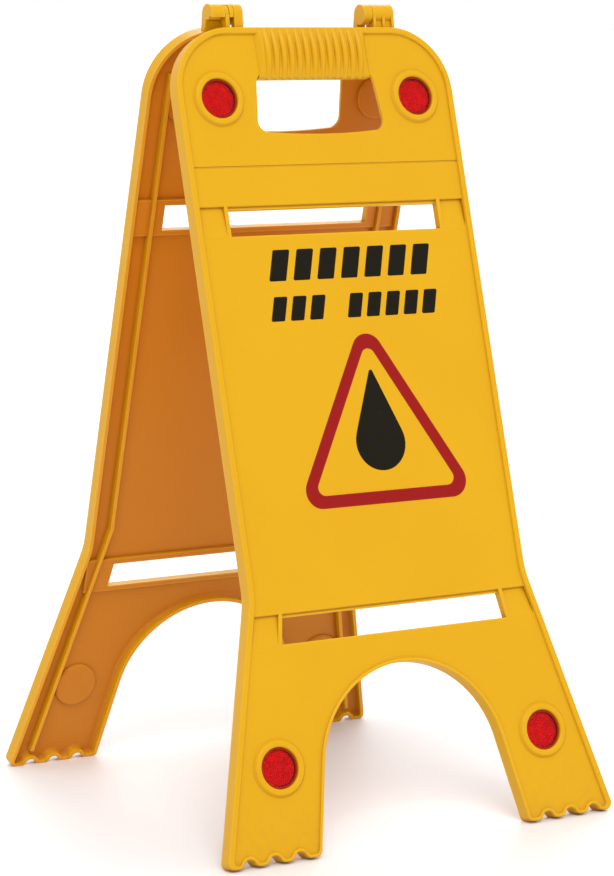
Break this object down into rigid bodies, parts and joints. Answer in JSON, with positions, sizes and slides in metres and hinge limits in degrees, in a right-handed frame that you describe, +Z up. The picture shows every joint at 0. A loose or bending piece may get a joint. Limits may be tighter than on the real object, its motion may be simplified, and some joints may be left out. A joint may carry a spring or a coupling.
{
  "type": "wet floor sign",
  "caption": "Free-standing folding floor sign: two flared leaves snapped together at hinges over a ribbed grip, with slots, an arch between the legs and round reflectors.",
  "frame": {"origin": "on the floor, midway between the four feet and straight below the middle of the hinge axis, with the sign standing open", "axes": "+Z up, +X along the hinge axis towards the front leaf's right-hand side as a viewer in front of it sees it, -Y towards that viewer, so the front leaf leans out to -Y"},
  "size_m": [0.3272, 0.3618, 0.5947],
  "materials": {
    "yellow_plastic": "satin moulded polypropylene with a fine texture",
    "red_lens": "polished transparent red with a prismatic back",
    "red_backing": "smooth opaque red"
  },
  "bodies": {
    "front_leaf": {"front_panel": "yellow_plastic", "front_top_left_lens": "red_lens", "front_top_right_lens": "red_lens", "front_bottom_left_lens": "red_lens", "front_bottom_right_lens": "red_lens", "front_top_left_backing": "red_backing", "front_top_right_backing": "red_backing", "front_bottom_left_backing": "red_backing", "front_bottom_right_backing": "red_backing"},
    "back_leaf": {"back_panel": "yellow_plastic", "back_top_left_lens": "red_lens", "back_top_right_lens": "red_lens", "back_bottom_left_lens": "red_lens", "back_bottom_right_lens": "red_lens", "back_top_left_backing": "red_backing", "back_top_right_backing": "red_backing", "back_bottom_left_backing": "red_backing", "back_bottom_right_backing": "red_backing"}
  },
  "joints": [
    {"name": "leaf_fold", "type": "hinge", "parent": "front_leaf", "child": "back_leaf", "pos_m": [0, 0, 0.58707], "axis": [-1, 0, 0], "range_deg": [0, 32.2]}
  ]
}
